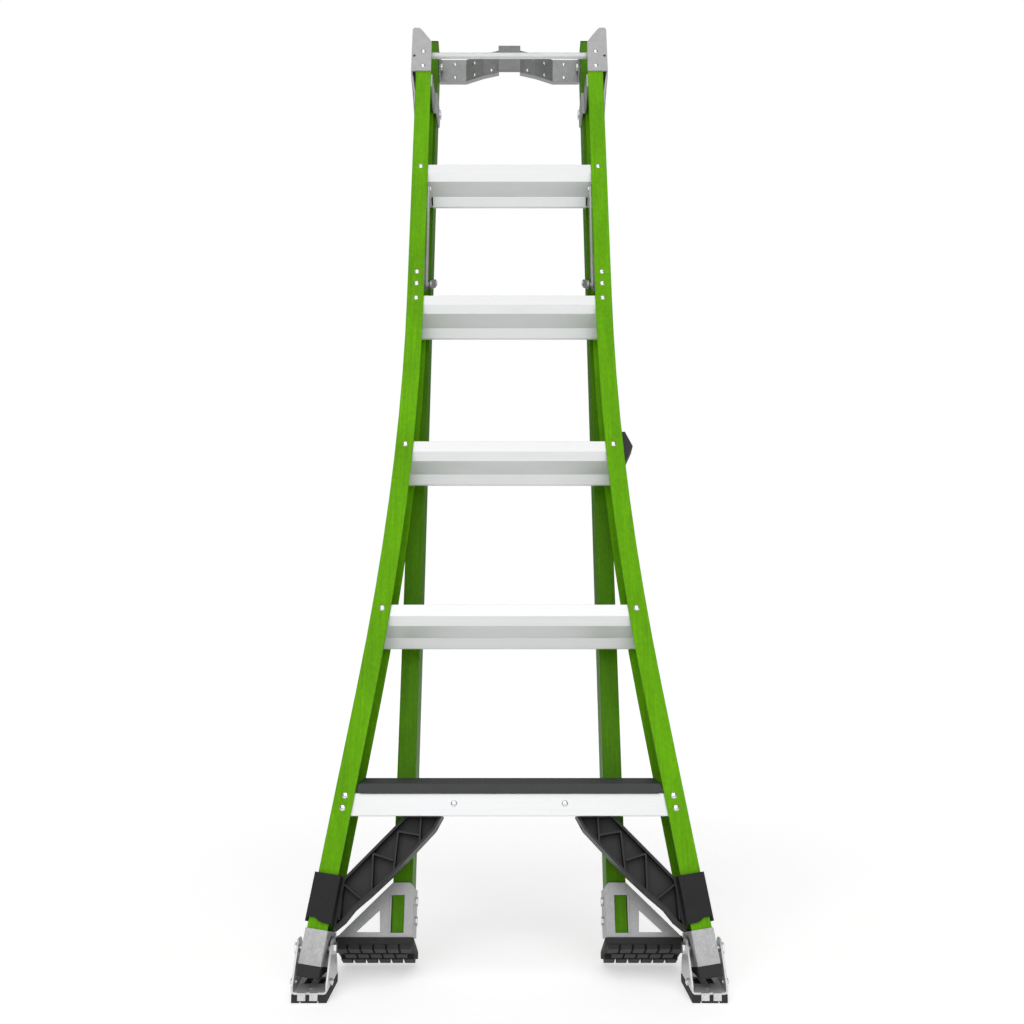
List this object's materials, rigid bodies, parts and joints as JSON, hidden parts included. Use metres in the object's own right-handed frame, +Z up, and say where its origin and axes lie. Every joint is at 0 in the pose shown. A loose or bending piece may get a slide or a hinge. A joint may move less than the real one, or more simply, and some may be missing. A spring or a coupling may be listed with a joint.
{
  "type": "folding step ladder",
  "caption": "Folding fibreglass step ladder with flared base, swivel shoes, rear section and a wall rest, folded and leaning.",
  "frame": {"origin": "on the floor, at the middle of the leaning ladder's outline seen from above", "axes": "+X to the climber's right, +Y from the climber to the wall, +Z up"},
  "size_m": [0.6602, 0.669, 1.8545],
  "materials": {
    "rail": "pultruded fibreglass, satin gloss",
    "step": "extruded, satin",
    "steel": "zinc plated sheet, satin",
    "fastener": "zinc plated",
    "moulding": "glass filled nylon, fine grain",
    "rubber": "moulded rubber"
  },
  "bodies": {
    "front_frame": {"front_rail_right": "rail", "front_rail_left": "rail", "step_2": "step", "step_3": "step", "step_4": "step", "step_5": "step", "step_end_fittings": "step", "rail_rivets": "fastener", "top_rung": "step", "bottom_beam": "step", "bottom_apron": "step", "apron_bolts": "fastener", "tread_springs": "fastener", "top_bracket_right": "steel", "top_bracket_left": "steel", "hinge_strap_right": "steel", "hinge_strap_left": "steel", "hinge_pins": "fastener", "hinge_spacers": "fastener", "stay_brackets": "steel", "stay_front_pins": "fastener", "rail_sleeve_right": "moulding", "rail_sleeve_left": "moulding", "rail_cap_right": "steel", "rail_cap_left": "steel", "rail_plugs": "rubber", "knee_brace_right": "moulding", "knee_brace_left": "moulding", "brace_screws": "fastener", "shoe_pivot_bolts": "fastener", "transport_clip": "moulding"},
    "bottom_tread": {"bottom_tread": "moulding"},
    "rear_frame": {"rear_rail_right": "rail", "rear_rail_left": "rail", "rear_top_caps": "moulding", "rear_rung_2": "step", "rear_rung_3": "step", "rear_rung_4": "step", "rear_rung_5": "step", "rear_foot_bracket_right": "steel", "rear_foot_bracket_left": "steel", "rear_foot_pad_right": "rubber", "rear_foot_pad_left": "rubber", "rear_foot_bolts": "fastener", "stay_rear_pins": "fastener", "clip_stud": "fastener"},
    "wall_rest": {"wall_rest_panel": "steel", "wall_rest_block": "steel", "wall_rest_rivets": "fastener", "wall_rest_pins": "fastener"},
    "shoe_left": {"shoe_frame_left": "steel", "shoe_pad_left": "rubber", "shoe_studs_left": "fastener"},
    "stay_front_left": {"stay_front_link_left": "steel"},
    "stay_rear_left": {"stay_rear_link_left": "steel"},
    "shoe_right": {"shoe_frame_right": "steel", "shoe_pad_right": "rubber", "shoe_studs_right": "fastener"},
    "stay_front_right": {"stay_front_link_right": "steel"},
    "stay_rear_right": {"stay_rear_link_right": "steel"}
  },
  "joints": [
    {"name": "rear_fold", "type": "hinge", "parent": "front_frame", "child": "rear_frame", "pos_m": [0, 0.25254, 1.67772], "axis": [1, 0, 0], "range_deg": [0, 26]},
    {"name": "wall_rest_swivel", "type": "hinge", "parent": "rear_frame", "child": "wall_rest", "pos_m": [0, 0.29799, 1.81255], "axis": [1, 0, 0], "range_deg": [0, 180]},
    {"name": "bottom_tread_press", "type": "slide", "parent": "front_frame", "child": "bottom_tread", "axis": [0, 0, 1], "range_m": [-0.003, 0], "stiffness_N_per_m": 3000, "springref_m": 0.004, "deforming": ["tread_springs"]},
    {"name": "shoe_left_swivel", "type": "hinge", "parent": "front_frame", "child": "shoe_left", "pos_m": [-0.298, -0.27551, 0.06442], "axis": [1, 0, 0], "range_deg": [-16, 16]},
    {"name": "stay_front_left_fold", "type": "hinge", "parent": "front_frame", "child": "stay_front_left", "pos_m": [-0.159, 0.05545, 1.42512], "axis": [1, 0, 0], "range_deg": [0, 66.38]},
    {"name": "stay_rear_left_fold", "type": "hinge", "parent": "rear_frame", "child": "stay_rear_left", "pos_m": [-0.151, 0.14098, 1.26135], "axis": [-1, 0, 0], "range_deg": [0, 77.27]},
    {"name": "shoe_right_swivel", "type": "hinge", "parent": "front_frame", "child": "shoe_right", "pos_m": [0.298, -0.27551, 0.06442], "axis": [1, 0, 0], "range_deg": [-16, 16]},
    {"name": "stay_front_right_fold", "type": "hinge", "parent": "front_frame", "child": "stay_front_right", "pos_m": [0.159, 0.05545, 1.42512], "axis": [1, 0, 0], "range_deg": [0, 66.38]},
    {"name": "stay_rear_right_fold", "type": "hinge", "parent": "rear_frame", "child": "stay_rear_right", "pos_m": [0.151, 0.14098, 1.26135], "axis": [-1, 0, 0], "range_deg": [0, 77.27]}
  ],
  "couplings": [
    {"joint": "stay_front_left_fold", "follows": "rear_fold", "ratio": 2.5526},
    {"joint": "stay_rear_left_fold", "follows": "rear_fold", "ratio": 2.9715},
    {"joint": "stay_front_right_fold", "follows": "rear_fold", "ratio": 2.5526},
    {"joint": "stay_rear_right_fold", "follows": "rear_fold", "ratio": 2.9715}
  ]
}
